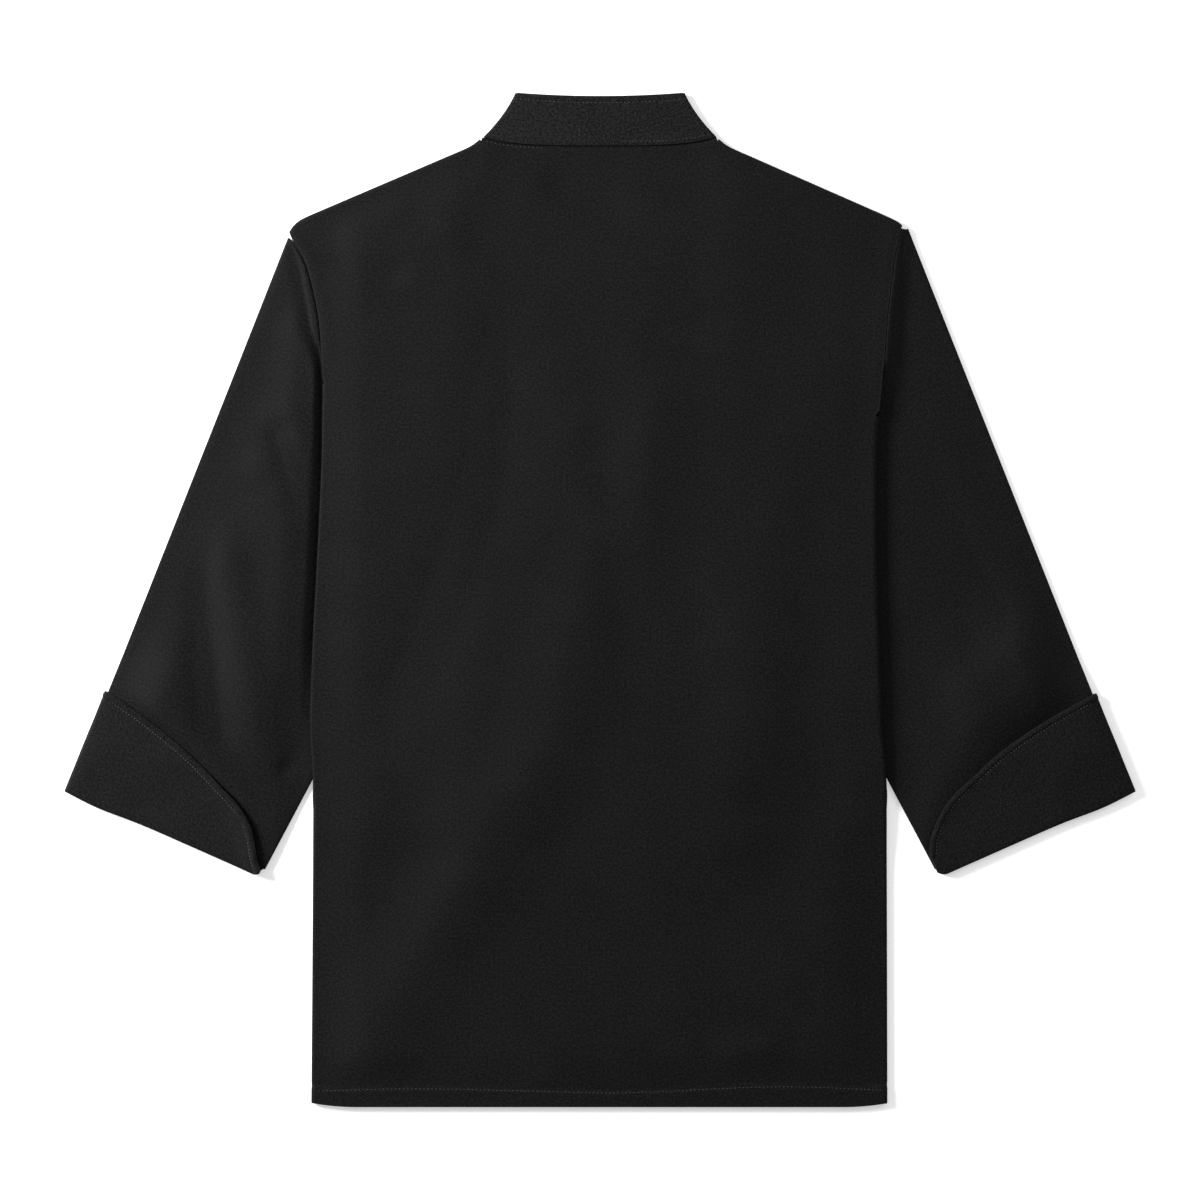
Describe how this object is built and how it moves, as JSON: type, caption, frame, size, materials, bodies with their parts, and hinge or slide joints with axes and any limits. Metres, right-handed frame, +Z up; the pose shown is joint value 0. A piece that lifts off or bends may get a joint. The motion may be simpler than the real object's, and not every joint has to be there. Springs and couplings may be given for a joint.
{
  "type": "chef jacket",
  "caption": "Black stand-collar chef jacket with turned-back three-quarter sleeves, lying flat with its plain back up.",
  "frame": {"origin": "on the surface the jacket lies on, under the middle of its outline", "axes": "+X towards the wearer's right sleeve, +Y towards the collar, +Z up out of the surface"},
  "size_m": [0.8462, 0.8012, 0.0082],
  "materials": {
    "body_twill": "matte black cotton-blend twill",
    "collar_twill": "matte black twill, two layers with a stiffening between them",
    "cuff_twill": "matte black twill, two layers",
    "button": "smooth black resin with a soft shine"
  },
  "bodies": {
    "root": {"back": "body_twill", "collar": "collar_twill", "front_left": "body_twill", "sleeve_left": "body_twill", "cuff_left": "cuff_twill", "button_left_1": "button", "button_left_2": "button", "button_left_3": "button", "button_left_4": "button", "button_left_5": "button", "front_right": "body_twill", "sleeve_right": "body_twill", "cuff_right": "cuff_twill", "button_right_1": "button", "button_right_2": "button", "button_right_3": "button", "button_right_4": "button", "button_right_5": "button"}
  },
  "joints": []
}
